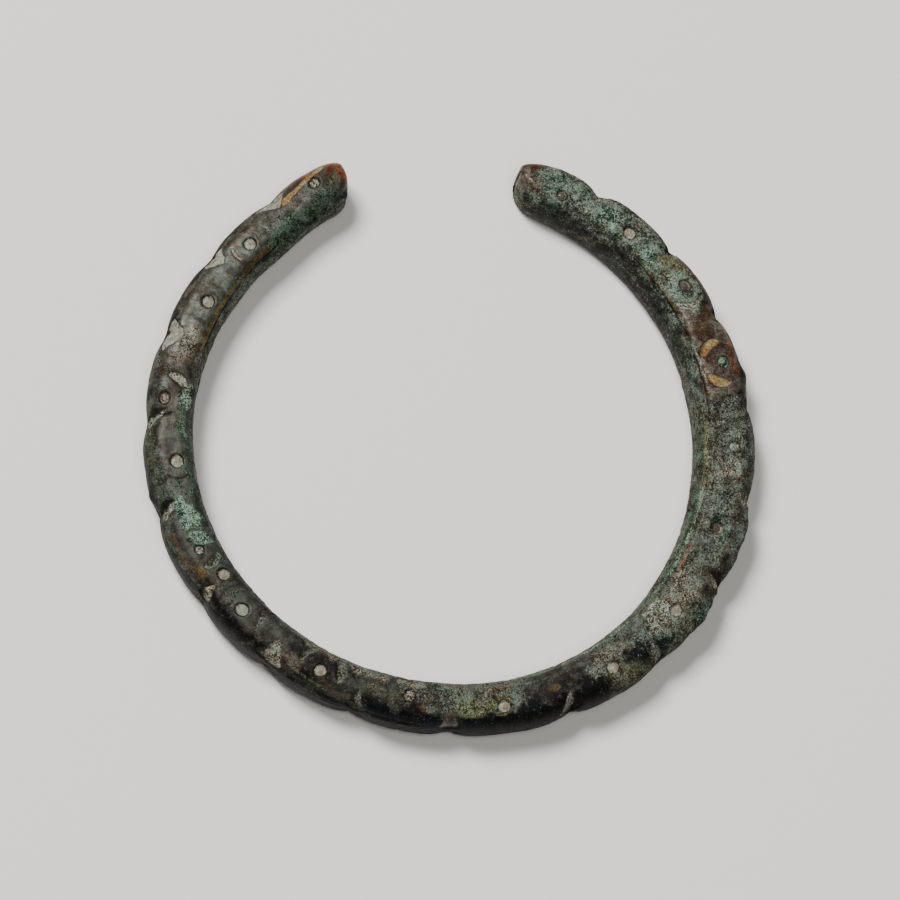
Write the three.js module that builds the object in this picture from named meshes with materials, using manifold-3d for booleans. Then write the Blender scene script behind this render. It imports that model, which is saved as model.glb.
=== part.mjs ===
// A solid-cast bronze bracelet, open on one side, with lobes along its outer edge.
// Millimetres, +Z up. It lies flat with its opening towards +Y.
// Angles run around the ring in degrees, clockwise from +Y as seen from above.

import * as THREE from "three";
import { mergeVertices } from "three/addons/utils/BufferGeometryUtils.js";
import Module from "manifold-3d";

// The ring that the middle of the bar follows, and the ring angles of the bar's two ends
const RING_RADIUS = 32.5;
const FIRST_END = 14.2;
const LAST_END = 338.2;

// How the bar changes over the last degrees before each end: one end is thinner, the other swings outwards
const END_CHANGES = [
  { end: FIRST_END, reach: 8, thinner: 0.9, outwards: 0 },
  { end: LAST_END, reach: 24, thinner: 0, outwards: 0.85 },
];

// An end's rounding: its length, and how far it takes in the bar's inner, outer and level faces
const END_ROUND = 2.6;
const END_ROUND_INNER = 2.3;
const END_ROUND_OUTER = 0.7;
const END_ROUND_LEVEL = 1.0;

// The ring is a little out of round: how far, how many waves around, and the ring angle of a crest
const RING_WAVES = [
  { height: 0.17, waves: 2, crest: 76 },
  { height: 0.2, waves: 3, crest: 17 },
];

// The bar's section: across the ring, along the axis, and the thickening on one side
const BAR_THICKNESS = 5.25;
const BAR_HEIGHT = 6.8;
const THICKNESS_WAVES = [
  { height: 0.55, waves: 1, crest: 110 },
  { height: 0.4, waves: 2, crest: 102 },
];
const OUTER_SQUARENESS = 2.5;
const INNER_SQUARENESS = 6;
const INNER_BELLY = 0.6;

// The bar is rolled about its own middle, most on the side near ROLL_SIDE
const ROLL = -6.5;
const ROLL_WAVES = [{ height: -7, waves: 1, crest: 35 }];

// How much of the rounded underside is worn flat
const FOOT_WEAR = 0.2;

// V-shaped notches filed across the outer edges, at hand-set angles
const NOTCH_ANGLES = [
  30.5, 48, 63.5, 82.2, 100.5, 117.8, 136.5, 156, 180.2, 199, 218, 235, 253.3, 271.8, 288, 306, 322.2,
];
const NOTCH_WIDTH = 2.7;
const NOTCH_DEPTH = 0.95;
const NOTCH_LENGTH = 5.6;
const NOTCH_SLOPE = 43;
const LOWER_NOTCH_SHARE = 0.8;

// The outer face dips to each notch, which leaves lobes between them
const DIP_DEPTH = 0.3;
const DIP_REACH = 1.7;

// Round pits punched in the upper face, one to each lobe
const PIT_DIAMETER = 1.55;
const PIT_DEPTH = 0.3;
const PIT_OUT = 0.1;
const PIT_SIDES = 8;

// How finely the solid is faceted
const SIDES = 24;
const STEPS = 132;
const END_STEPS = 4;

const radians = THREE.MathUtils.degToRad;

/** A value that swings around the ring in waves. */
function swing(mean, waves, angle) {
  return waves.reduce((sum, w) => sum + w.height * Math.cos(w.waves * radians(angle - w.crest)), mean);
}

/** How much of one kind of end change is felt at an angle. */
function endChange(kind, angle) {
  const felt = (change) => 1 - THREE.MathUtils.smoothstep(Math.abs(angle - change.end), 0, change.reach);
  return END_CHANGES.reduce((sum, change) => sum + change[kind] * felt(change), 0);
}

/** How deep the outer face dips at an angle. */
function dipAt(angle) {
  const hollow = (notch) => Math.exp(-((radians(angle - notch) * RING_RADIUS / DIP_REACH) ** 2));
  return DIP_DEPTH * NOTCH_ANGLES.reduce((sum, notch) => sum + hollow(notch), 0);
}

/** A point of the bar's section before it is rolled, x outwards and y upwards, with the end's rounding. */
function sectionPoint(turn, { thickness, dip }, draw) {
  const c = Math.cos(turn);
  const s = Math.sin(turn);
  const power = 2 / (c > 0 ? OUTER_SQUARENESS : INNER_SQUARENESS);
  const across = Math.sign(c) * Math.abs(c) ** power;
  const up = Math.sign(s) * Math.abs(s) ** power;
  const outer = thickness / 2 - dip - draw * END_ROUND_OUTER;
  const inner = thickness / 2 + INNER_BELLY * (1 - up * up) - draw * END_ROUND_INNER;
  return new THREE.Vector2(across * (c > 0 ? outer : inner), up * (BAR_HEIGHT / 2 - draw * END_ROUND_LEVEL));
}

/** The bar at one angle: its thickness, the dip of its outer face, its roll, and where its middle lies. */
function barAt(angle) {
  const thickness = swing(BAR_THICKNESS, THICKNESS_WAVES, angle) - endChange("thinner", angle);
  const bar = { angle, thickness, dip: dipAt(angle), roll: radians(swing(ROLL, ROLL_WAVES, angle)) };
  let lowest = 0;
  for (let side = 0; side < SIDES; side += 1) {
    const point = sectionPoint((side / SIDES) * 2 * Math.PI, bar, 0);
    lowest = Math.min(lowest, point.rotateAround(new THREE.Vector2(), bar.roll).y);
  }
  const radius = swing(RING_RADIUS, RING_WAVES, angle) + endChange("outwards", angle);
  bar.middle = new THREE.Vector2(radius, -lowest - FOOT_WEAR);
  return bar;
}

/** Carries a point of the section at one angle into space. */
function place(bar, point) {
  const rolled = point.clone().rotateAround(new THREE.Vector2(), bar.roll).add(bar.middle);
  const around = radians(bar.angle);
  return new THREE.Vector3(rolled.x * Math.sin(around), rolled.x * Math.cos(around), rolled.y);
}

/** The numbered station along the bar: its angle, and the share of the end's rounding that draws it in. */
function station(step) {
  const fromEnd = Math.min(step, STEPS - step);
  const turn = (Math.min(fromEnd / END_STEPS, 1) * Math.PI) / 2;
  const endAngle = THREE.MathUtils.radToDeg(END_ROUND / RING_RADIUS);
  const into = endAngle * (1 - Math.cos(turn));
  const draw = 1 - Math.sin(turn);
  if (step < END_STEPS) return { angle: FIRST_END + into, draw };
  if (STEPS - step < END_STEPS) return { angle: LAST_END - into, draw };
  const share = (step - END_STEPS) / (STEPS - 2 * END_STEPS);
  return { angle: THREE.MathUtils.lerp(FIRST_END + endAngle, LAST_END - endAngle, share), draw: 0 };
}

/** The plain cast bar, bent from a straight capped cylinder. */
function castBar() {
  const geometry = new THREE.CylinderGeometry(1, 1, 1, SIDES, STEPS);
  const position = geometry.attributes.position;
  const vertex = new THREE.Vector3();
  for (let i = 0; i < position.count; i += 1) {
    vertex.fromBufferAttribute(position, i);
    const { angle, draw } = station(Math.round((vertex.y + 0.5) * STEPS));
    const bar = barAt(angle);
    const reach = Math.hypot(vertex.x, vertex.z);
    const point = sectionPoint(Math.atan2(vertex.x, vertex.z), bar, draw);
    const placed = place(bar, point.multiplyScalar(reach));
    position.setXYZ(i, placed.x, placed.y, placed.z);
  }
  return geometry;
}

/** A three-sided wedge lying across an outer edge: side is 1 for the upper edge and -1 for the lower. */
function notchCutter(angle, side) {
  const bar = barAt(angle);
  const share = side > 0 ? 1 : LOWER_NOTCH_SHARE;
  const width = NOTCH_WIDTH * share;
  const depth = NOTCH_DEPTH * share;
  const profile = new THREE.Shape([
    new THREE.Vector2(0, 0),
    new THREE.Vector2(width, 2 * depth),
    new THREE.Vector2(-width, 2 * depth),
  ]);
  const geometry = new THREE.ExtrudeGeometry(profile, { depth: NOTCH_LENGTH, bevelEnabled: false });
  geometry.translate(0, -depth, -NOTCH_LENGTH / 2);
  const corner = sectionPoint((side * Math.PI) / 4, bar, 0);
  const slope = side * radians(90 - NOTCH_SLOPE);
  const outwards = new THREE.Vector2(Math.cos(slope), Math.sin(slope));
  const origin = place(bar, corner);
  const out = place(bar, corner.clone().add(outwards)).sub(origin).normalize();
  const around = radians(angle);
  const tangent = new THREE.Vector3(Math.cos(around), -Math.sin(around), 0);
  const along = new THREE.Vector3().crossVectors(tangent, out);
  geometry.applyMatrix4(new THREE.Matrix4().makeBasis(tangent, out, along).setPosition(origin));
  return geometry;
}

/** A round punch standing in the upper face at one angle. */
function pitCutter(angle) {
  const bar = barAt(angle);
  const length = 4 * PIT_DEPTH;
  const geometry = new THREE.CylinderGeometry(PIT_DIAMETER / 2, PIT_DIAMETER / 3, length, PIT_SIDES);
  geometry.translate(0, length / 2 - PIT_DEPTH, 0);
  const foot = new THREE.Vector2(PIT_OUT, BAR_HEIGHT / 2);
  const origin = place(bar, foot);
  const up = place(bar, foot.clone().add(new THREE.Vector2(0, 1))).sub(origin).normalize();
  const around = radians(angle);
  const tangent = new THREE.Vector3(Math.cos(around), -Math.sin(around), 0);
  const across = new THREE.Vector3().crossVectors(tangent, up).negate();
  geometry.applyMatrix4(new THREE.Matrix4().makeBasis(across, up, tangent).setPosition(origin));
  return geometry;
}

/** The block under the ring that takes the underside off level. */
function footCutter() {
  const reach = 4 * RING_RADIUS;
  const depth = 2 * BAR_HEIGHT;
  return new THREE.BoxGeometry(reach, reach, depth).translate(0, 0, -depth / 2);
}

/** The middles of the lobes, between one notch or end and the next. */
function lobeAngles() {
  const edges = [FIRST_END, ...NOTCH_ANGLES, LAST_END];
  return edges.slice(1).map((edge, i) => (edge + edges[i]) / 2);
}

const wasm = await Module();
wasm.setup();

/** A closed geometry as a solid. */
function solid(geometry) {
  const bare = geometry.clone();
  bare.deleteAttribute("normal");
  bare.deleteAttribute("uv");
  const merged = mergeVertices(bare);
  return new wasm.Manifold(new wasm.Mesh({
    numProp: 3,
    vertProperties: new Float32Array(merged.attributes.position.array),
    triVerts: new Uint32Array(merged.index.array),
  }));
}

/** A solid as a geometry, centred over the origin and standing on z = 0. */
function finished(body) {
  const { vertProperties, triVerts } = body.getMesh();
  const geometry = new THREE.BufferGeometry();
  geometry.setAttribute("position", new THREE.BufferAttribute(vertProperties, 3));
  geometry.setIndex(new THREE.BufferAttribute(triVerts, 1));
  geometry.computeBoundingBox();
  const { min, max } = geometry.boundingBox;
  geometry.translate(-(min.x + max.x) / 2, -(min.y + max.y) / 2, -min.z);
  geometry.computeVertexNormals();
  return geometry;
}

/** The whole bracelet: the cast bar with its notches, pits and worn foot taken out. */
function makeBracelet() {
  const cutters = [
    ...NOTCH_ANGLES.flatMap((angle) => [notchCutter(angle, 1), notchCutter(angle, -1)]),
    ...lobeAngles().map(pitCutter),
    footCutter(),
  ];
  const body = cutters.reduce((rest, cutter) => rest.subtract(solid(cutter)), solid(castBar()));
  const bronze = new THREE.MeshStandardMaterial({ color: 0x4a4038, roughness: 0.5, metalness: 0.85 });
  const mesh = new THREE.Mesh(finished(body), bronze);
  mesh.name = "bracelet";
  return mesh;
}

const group = new THREE.Group();
group.add(makeBracelet());

export default group;
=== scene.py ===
import logging
import math
from dataclasses import dataclass, field
from enum import Enum
from typing import ClassVar

import bmesh
import bpy
import numpy as np
from mathutils import Matrix, Vector


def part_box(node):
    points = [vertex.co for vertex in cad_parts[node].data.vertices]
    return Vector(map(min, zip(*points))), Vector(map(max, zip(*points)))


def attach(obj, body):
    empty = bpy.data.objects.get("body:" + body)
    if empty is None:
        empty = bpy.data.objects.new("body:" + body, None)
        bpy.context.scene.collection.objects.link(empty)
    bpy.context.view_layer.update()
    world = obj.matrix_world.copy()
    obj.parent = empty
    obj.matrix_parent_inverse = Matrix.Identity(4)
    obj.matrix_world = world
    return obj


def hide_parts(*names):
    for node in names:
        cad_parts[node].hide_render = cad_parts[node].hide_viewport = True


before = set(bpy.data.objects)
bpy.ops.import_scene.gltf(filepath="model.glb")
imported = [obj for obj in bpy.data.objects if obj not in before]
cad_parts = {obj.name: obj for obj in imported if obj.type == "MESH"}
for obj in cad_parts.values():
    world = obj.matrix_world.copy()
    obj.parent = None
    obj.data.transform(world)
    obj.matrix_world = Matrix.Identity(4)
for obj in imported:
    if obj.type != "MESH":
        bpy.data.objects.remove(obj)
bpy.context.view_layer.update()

# The looks of an open, solid-cast bronze bracelet: its cut and punched decoration, its corrosion, its patina.
#
# Lengths are millimetres until the mesh is finished. Angles run around the ring in degrees, clockwise from +Y
# as seen from above. "Across" is the way along the bar's section from the middle of its upper face, outwards
# positive. "Past" is the way along the ring from the middle of a thing, towards the last end.

log = logging.getLogger("bracelet")

METRES = 0.001

# The ring angles of the bar's two ends
FIRST_END = 14.2
LAST_END = 338.2

# Large odd numbers that scatter the cells of the noise: one to each coordinate, one to the seed, one to mix
CELL_KEYS = (374761393, 668265263, 1442695041)
SEED_KEY = 974711
MIX_KEY = 1274126177
LOW_32_BITS = 0xFFFFFFFF


def linear(code: str) -> tuple[float, float, float, float]:
    """A colour for a shader.

    Args:
        code: six hexadecimal digits, as a painter's colour chart gives them.

    Returns:
        The linear red, green, blue and alpha.
    """
    parts = [int(code[i:i + 2], 16) / 255 for i in (0, 2, 4)]
    return (*(p / 12.92 if p < 0.04045 else ((p + 0.055) / 1.055) ** 2.4 for p in parts), 1.0)


def ease(x: np.ndarray, low: float, high: float) -> np.ndarray:
    """Smooth step of x from 0 at low to 1 at high."""
    t = np.clip((x - low) / (high - low), 0, 1)
    return t * t * (3 - 2 * t)


def soft_positive(x: np.ndarray, rounding: float) -> np.ndarray:
    """x where it is above nought, else nought, with the corner rounded."""
    return 0.5 * (x + np.sqrt(x * x + rounding * rounding))


def grit(place: np.ndarray, seed: int) -> np.ndarray:
    """Smooth noise, one cell to a unit, that is the same on every run.

    Args:
        place: points, with their three coordinates along the last axis.
        seed: which of many such noises.

    Returns:
        A value from -1 to 1 for each point.
    """
    cell = np.floor(place).astype(np.int64)
    part = place - cell
    fade = part * part * (3 - 2 * part)
    total = np.zeros(place.shape[:-1])
    for corner in np.ndindex(2, 2, 2):
        key = ((cell + np.array(corner)) @ np.array(CELL_KEYS) + seed * SEED_KEY) & LOW_32_BITS
        key = ((key ^ (key >> 13)) * MIX_KEY) & LOW_32_BITS
        key ^= key >> 16
        total += np.prod(np.where(corner, fade, 1 - fade), axis=-1) * (key / 2 ** 31 - 1)
    return total


def rough(place: np.ndarray, seed: int, octaves: int = 3) -> np.ndarray:
    """Noise with finer noise upon it, from about -1 to 1."""
    return sum(grit(place * 2 ** n, seed + n) / 1.6 ** n for n in range(octaves)) / 1.4


@dataclass(frozen=True)
class Noise:
    """Unevenness of the metal, or of what lies on it.

    Args:
        size: the breadth of its largest swells.
        seed: which of many such noises.
    """

    size: float
    seed: int

    def at(self, point: np.ndarray) -> np.ndarray:
        """Its value at each point, from about -1 to 1."""
        return rough(point / self.size, self.seed)


@dataclass(frozen=True)
class Wave:
    """One swing of a size around the ring.

    Args:
        height: how far it goes each way.
        waves: how many there are around the ring.
        crest: the ring angle of a crest.
    """

    height: float
    waves: int
    crest: float

    def at(self, angle: np.ndarray) -> np.ndarray:
        """The swing at an angle."""
        return self.height * np.cos(self.waves * np.radians(angle - self.crest))


@dataclass(frozen=True)
class EndChange:
    """How the bar changes over the last degrees before one of its ends.

    Args:
        end: the ring angle of that end.
        reach: over how many degrees it changes.
        thinner: how much thinner the bar gets.
        outwards: how far it swings outwards.
    """

    end: float
    reach: float
    thinner: float = 0.0
    outwards: float = 0.0

    def felt(self, angle: np.ndarray) -> np.ndarray:
        """How much of the change is felt at an angle, from 0 to 1."""
        return 1 - ease(np.abs(angle - self.end), 0, self.reach)


@dataclass(frozen=True)
class CastBar:
    """The bar as cast, bent round the ring, before anything is cut into it. Its sizes are the solid's.

    Args:
        ring_radius: the radius of the ring that the bar's middle follows.
        first_end: the ring angle of its thinner end.
        last_end: the ring angle of its other end.
        end_changes: how it changes towards its ends.
        end_round: the length of an end's rounding.
        end_round_inner: how far that takes in the inner face.
        end_round_outer: how far it takes in the outer face.
        end_round_level: how far it takes in the upper and lower faces.
        ring_waves: how the ring is out of round.
        thickness: the bar's mean thickness across the ring.
        height: its height along the ring's axis.
        thickness_waves: how its thickness changes round the ring.
        outer_squareness: how square the outer half of its section is: 2 is round, and more is squarer.
        inner_squareness: how square the inner half is.
        inner_belly: how far the inner face bulges.
        roll: how far the bar is rolled about its own middle, in degrees.
        roll_waves: how its roll changes round the ring.
        foot_wear: how much of the rounded underside is worn flat.
        foot_sides: how many points of the section are tried for its lowest.
        dip_depth: how deep the outer face dips to a notch.
        dip_reach: how far along the ring such a dip reaches.
    """

    ring_radius: float = 32.5
    first_end: float = FIRST_END
    last_end: float = LAST_END
    end_changes: tuple[EndChange, ...] = (
        EndChange(FIRST_END, reach=8, thinner=0.9), EndChange(LAST_END, reach=24, outwards=0.85),
    )
    end_round: float = 2.6
    end_round_inner: float = 2.3
    end_round_outer: float = 0.7
    end_round_level: float = 1.0
    ring_waves: tuple[Wave, ...] = (Wave(0.17, 2, 76), Wave(0.2, 3, 17))
    thickness: float = 5.25
    height: float = 6.8
    thickness_waves: tuple[Wave, ...] = (Wave(0.55, 1, 110), Wave(0.4, 2, 102))
    outer_squareness: float = 2.5
    inner_squareness: float = 6.0
    inner_belly: float = 0.6
    roll: float = -6.5
    roll_waves: tuple[Wave, ...] = (Wave(-7, 1, 35),)
    foot_wear: float = 0.2
    foot_sides: int = 24
    dip_depth: float = 0.3
    dip_reach: float = 1.7

    def section(
        self, turn: np.ndarray, thickness: np.ndarray, dip: np.ndarray, draw: np.ndarray,
    ) -> tuple[np.ndarray, np.ndarray]:
        """A point of the section before it is rolled.

        Args:
            turn: radians round the section, nought outwards and a quarter turn upwards.
            thickness: the bar's thickness there.
            dip: how deep the outer face dips there.
            draw: the share of the end's rounding that draws the section in.

        Returns:
            The distances outwards and upwards from the bar's middle.
        """
        c, s = np.cos(turn), np.sin(turn)
        power = np.where(c > 0, 2 / self.outer_squareness, 2 / self.inner_squareness)
        side = np.sign(c) * np.abs(c) ** power
        up = np.sign(s) * np.abs(s) ** power
        outer = thickness / 2 - dip - draw * self.end_round_outer
        inner = thickness / 2 + self.inner_belly * (1 - up * up) - draw * self.end_round_inner
        return side * np.where(c > 0, outer, inner), up * (self.height / 2 - draw * self.end_round_level)

    def thickness_at(self, angle: np.ndarray) -> np.ndarray:
        """The bar's thickness at an angle."""
        waves = sum(w.at(angle) for w in self.thickness_waves)
        return self.thickness + waves - sum(e.thinner * e.felt(angle) for e in self.end_changes)

    def dip_at(self, angle: np.ndarray) -> np.ndarray:
        """How deep the outer face dips at an angle, as it does towards each notch."""
        past = [np.radians(angle - notch.angle) * self.ring_radius / self.dip_reach for notch in NOTCHES]
        return self.dip_depth * sum(np.exp(-(p ** 2)) for p in past)

    def roll_at(self, angle: np.ndarray) -> np.ndarray:
        """How far the bar is rolled about its own middle at an angle, in radians."""
        return np.radians(self.roll + sum(w.at(angle) for w in self.roll_waves))

    def middle_at(self, angle: np.ndarray) -> tuple[np.ndarray, np.ndarray]:
        """Where the bar's middle lies, so that its rounded underside is worn flat at height nought.

        Args:
            angle: the ring angles.

        Returns:
            Its distance from the ring's axis and its height, at each angle.
        """
        turns = np.arange(self.foot_sides) / self.foot_sides * 2 * np.pi
        thickness, dip = self.thickness_at(angle)[:, None], self.dip_at(angle)[:, None]
        s, z = self.section(turns[None, :], thickness, dip, 0.0)
        roll = self.roll_at(angle)[:, None]
        lowest = (s * np.sin(roll) + z * np.cos(roll)).min(axis=1)
        radius = self.ring_radius + sum(w.at(angle) for w in self.ring_waves)
        radius = radius + sum(e.outwards * e.felt(angle) for e in self.end_changes)
        return radius, -lowest - self.foot_wear


class Finish(Enum):
    """What covers a place on the bronze. Each has a point attribute of the same name on the mesh."""

    GRAIN = "grain"  # grainy grey-green corrosion
    SMOOTH = "smooth"  # grey-brown metal, worn satin
    BROWN = "brown"  # warm brown metal
    DARK = "dark"  # near-black patina, and painted shade on the faces turned from the light
    MINT = "mint"  # broken crust of pale green
    GREEN = "green"  # dull green corrosion
    OCHRE = "ochre"  # yellow-brown stain
    OLIVE = "olive"  # yellowish green corrosion
    GOLD = "gold"  # bright metal, bared by rubbing
    COPPER = "copper"  # reddish metal
    BLUE = "blue"  # blue-black patina
    PALE = "pale"  # broken whitish crust, and painted highlights along some edges
    SOIL = "soil"  # pale soil, packed into notches and pits
    HOLLOW = "hollow"  # grime in pores, and painted shade in grooves, scoops, notch walls and round pit rims, over everything else


@dataclass(frozen=True)
class Notch:
    """A V filed across an outer edge, deepest and widest at its mouth.

    Args:
        angle: where it stands on the ring.
        width: its width at its mouth.
        apex: how far across the upper face its point reaches.
        mouth: how far across the section it is widest.
        soil: how much of its depth is filled with soil, from 0 to 1.
        lean: how far along the ring its point lies from its mouth.
        heap: how steeply the soil is heaped against the wall on the side of the first end.
        tone: what covers the soil.
        dish: how deep the metal round it is hammered down.
        coat: how completely soil covers the bare walls too.
    """

    angle: float
    width: float = 2.7
    apex: float = 0.1
    mouth: float = 2.6
    soil: float = 0.5
    lean: float = 0.0
    heap: float = 0.0
    tone: Finish = Finish.SOIL
    dish: float = 0.1
    coat: float = 0.3


@dataclass(frozen=True)
class Scoop:
    """A curved scoop that flanks a pit, along an arc round the pit's middle.

    Args:
        way: -1 for the side of the ring's first end, 1 for the other.
        depth: how deep it is.
        tone: what covers it.
        strength: how completely that covers it.
        width: its width at its middle.
        start: where its arc starts, in degrees from the ring's own line towards the inner side.
        stop: where its arc ends.
        reach: its distance from the pit's middle.
    """

    way: int
    depth: float = 0.1
    tone: Finish = Finish.PALE
    strength: float = 0.4
    width: float = 0.8
    start: float = -12.0
    stop: float = 62.0
    reach: float = 2.5


@dataclass(frozen=True)
class Pit:
    """A round punched pit.

    Args:
        angle: where it stands on the ring.
        across: where it stands across the upper face.
        size: its diameter.
        tone: what fills it.
        fill: how much of its depth is filled.
        scoops: the scoops that flank it.
    """

    angle: float
    across: float
    size: float = 1.55
    tone: Finish = Finish.SOIL
    fill: float = 0.7
    scoops: tuple[Scoop, ...] = ()


@dataclass(frozen=True)
class Patch:
    """A place where one finish covers the bronze.

    Args:
        start: the ring angle at which it starts.
        end: the ring angle at which it ends.
        inner: its edge across the section on the inner side.
        outer: its edge across the section on the outer side.
        strength: how completely it covers: up to 1 noise breaks it, and above that it closes up.
        slant: how far its middle drifts outwards from its start to its end.
        soft: how far its edge fades.
    """

    start: float
    end: float
    inner: float
    outer: float
    strength: float = 1.0
    slant: float = 0.0
    soft: float = 0.6


@dataclass(frozen=True)
class Line:
    """A thin ridge, groove or streak of one finish that runs along the bar.

    Args:
        start: the ring angle at which it starts.
        end: the ring angle at which it ends.
        across: its place across the section.
        width: about half its width.
        rise: how high it stands, or how deep it is where this is below nought.
        strength: how completely it is covered, as a patch is.
        drift: how far it moves outwards from its start to its end.
    """

    start: float
    end: float
    across: float
    width: float = 0.18
    rise: float = 0.0
    strength: float = 0.8
    drift: float = 0.0


@dataclass(frozen=True)
class Lump:
    """A lump of crust.

    Args:
        angle: where it sits on the ring.
        across: where it sits across the section.
        length: half its length along the bar.
        width: half its width.
        height: how high it stands.
    """

    angle: float
    across: float
    length: float
    width: float
    height: float


# Clockwise from the first end: angle, width, apex, mouth, soil, lean, heap, tone, dish and coat
NOTCHES = (
    Notch(30.5, 2.7, -0.4, 2.2, 0.4, 0.2, 0.1, Finish.PALE, 0.3, 0.8),
    Notch(48.0, 2.0, 0.1, 2.2, 0.3, 0.0, -0.2, Finish.GRAIN, 0.2),
    Notch(63.5, 2.4, 0.4, 2.4, 0.5, 0.0, 0.1, Finish.OCHRE, 0.15),
    Notch(82.2, 2.2, 0.9, 2.6, 0.7, 0.0, 0.0, Finish.GRAIN, 0.1),
    Notch(100.5, 2.4, 0.4, 2.6, 0.5, -0.3, 0.25, Finish.PALE, 0.1, 0.6),
    Notch(117.8, 2.6, 0.4, 2.6, 0.4, -0.4, -0.3, Finish.PALE),
    Notch(136.3, 3.2, 0.4, 2.6, 0.6, -0.2, -0.3, Finish.PALE),
    Notch(156.0, 3.4, 0.0, 3.2, 0.45, -0.5, -0.4, Finish.PALE),
    Notch(180.2, 3.0, 0.4, 3.0, 0.75, 0.2, -0.1, Finish.BROWN),
    Notch(199.0, 2.4, 0.1, 3.0, 0.75, 0.2, 0.1, Finish.GRAIN),
    Notch(217.9, 3.5, -0.7, 2.5, 0.75, 0.3, 0.1, Finish.PALE, 0.1, 0.6),
    Notch(235.0, 2.2, 0.3, 2.9, 0.75, 0.2, 0.1, Finish.PALE),
    Notch(253.3, 2.6, -0.2, 2.4, 0.5, 1.0, 0.45, Finish.PALE, 0.15),
    Notch(271.8, 2.6, 0.0, 2.4, 0.5, 1.1, 0.45, Finish.PALE, 0.15),
    Notch(288.2, 4.3, 0.0, 2.2, 0.55, 0.4, 0.12, Finish.SOIL, 0.1, 1.0),
    Notch(305.7, 3.3, 0.2, 2.0, 0.55, 0.1, 0.12, Finish.SOIL, 0.1, 1.0),
    Notch(322.2, 4.0, 0.2, 1.9, 0.55, 0.2, 0.12, Finish.SOIL, 0.1, 1.0),
)

# One to each lobe, and a close pair on the lobe at the lower left
PITS = (
    Pit(23.8, -1.6, 1.3, Finish.BROWN, 0.9),
    Pit(40.0, -0.9),
    Pit(55.5, -0.1, 1.6, Finish.BROWN, 0.4, (Scoop(-1, 0.04), Scoop(1, 0.14, Finish.PALE, 1.0, 0.9))),
    Pit(73.0, 0.2, 1.6, Finish.MINT, 0.8, (
        Scoop(-1, 0.16, Finish.GOLD, 1.0, 1.25, -8, 66), Scoop(1, 0.18, Finish.GOLD, 1.0, 1.4, -4, 66),
    )),
    Pit(90.8, 0.0, 1.4, Finish.PALE, 0.9, (Scoop(-1, 0.05), Scoop(1, 0.06, Finish.PALE, 0.6))),
    Pit(108.5, -0.5, 1.5, Finish.BROWN, 0.6, (Scoop(1, 0.04),)),
    Pit(128.0, 0.0, 1.6, Finish.SOIL, 0.8, (Scoop(1, 0.05, Finish.PALE, 0.6),)),
    Pit(145.8, 0.2, 1.5, Finish.SOIL, 0.9),
    Pit(169.5, 0.4, 1.5, Finish.SOIL, 0.8, (Scoop(-1, 0.06), Scoop(1, 0.06, Finish.PALE, 0.6))),
    Pit(189.0, -0.5, 1.5, Finish.PALE, 0.6, (Scoop(-1, 0.05), Scoop(1, 0.06))),
    Pit(208.0, 0.2, 1.5, Finish.SOIL, 0.8, (
        Scoop(-1, 0.14, Finish.GRAIN, 0.7, 1.3), Scoop(1, 0.08, Finish.GRAIN, 0.5),
    )),
    Pit(228.0, 0.1, 1.6, Finish.SOIL, 0.9, (
        Scoop(-1, 0.1, Finish.GRAIN, 0.7, 0.9, -5, 55), Scoop(1, 0.12, Finish.PALE, 0.4, 1.1, -35, 60),
    )),
    Pit(236.0, -0.9, 1.5, Finish.SOIL, 0.9),
    Pit(242.8, 0.0, 1.1, Finish.PALE, 0.6, (
        Scoop(-1, 0.16, Finish.GRAIN, 0.8, 1.2, -15, 60, 2.1), Scoop(1, 0.05),
    )),
    Pit(261.8, -0.7, 1.55, Finish.SOIL, 0.9, (
        Scoop(-1, 0.08, Finish.HOLLOW, 0.6, 0.35, -45, 30, 2.0), Scoop(1, 0.03, Finish.PALE, 0.3),
    )),
    Pit(275.0, 0.7, 1.5, Finish.BROWN, 0.6, (
        Scoop(-1, 0.1, Finish.HOLLOW, 0.7, 0.4, -20, 40, 1.9),
        Scoop(1, 0.22, Finish.PALE, 0.85, 1.3, 0, 62, 2.75),
    )),
    Pit(297.0, -0.7, 1.5, Finish.SOIL, 0.9, (
        Scoop(-1, 0.07, Finish.HOLLOW, 0.5, 0.25, -30, 40, 2.3),
        Scoop(1, 0.06, Finish.HOLLOW, 0.3, 0.25, -30, 45, 2.3),
    )),
    Pit(312.5, -0.5, 1.5, Finish.SOIL, 0.85, (
        Scoop(-1, 0.1, Finish.SOIL, 0.9, 0.4, -35, 15, 2.2), Scoop(1, 0.04, Finish.HOLLOW, 0.2, 0.3),
    )),
    Pit(331.2, 0.3, 1.4, Finish.PALE, 0.1, (
        Scoop(-1, 0.03, Finish.PALE, 0.2), Scoop(1, 0.03, Finish.PALE, 0.2),
    )),
)

# Crust, most of it on the outer edge at the right
LUMPS = (
    Lump(76.0, 3.0, 1.0, 0.8, 0.3),
    Lump(101.5, 3.3, 0.8, 0.6, 0.25),
    Lump(105.5, 3.2, 1.5, 0.9, 0.45),
    Lump(108.2, 3.2, 0.6, 0.5, 0.2),
    Lump(112.0, 3.4, 2.6, 0.9, 0.25),
    Lump(119.3, 3.2, 0.8, 0.6, 0.3),
    Lump(122.3, 3.3, 0.5, 0.5, 0.25),
    Lump(125.5, 3.4, 1.3, 0.9, 0.5),
    Lump(128.2, 3.3, 0.6, 0.5, 0.25),
    Lump(133.0, 3.4, 2.4, 0.9, 0.2),
    Lump(204.0, 4.0, 2.2, 0.6, 0.12),
    Lump(256.5, 4.6, 0.9, 0.9, 0.3),
)
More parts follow.
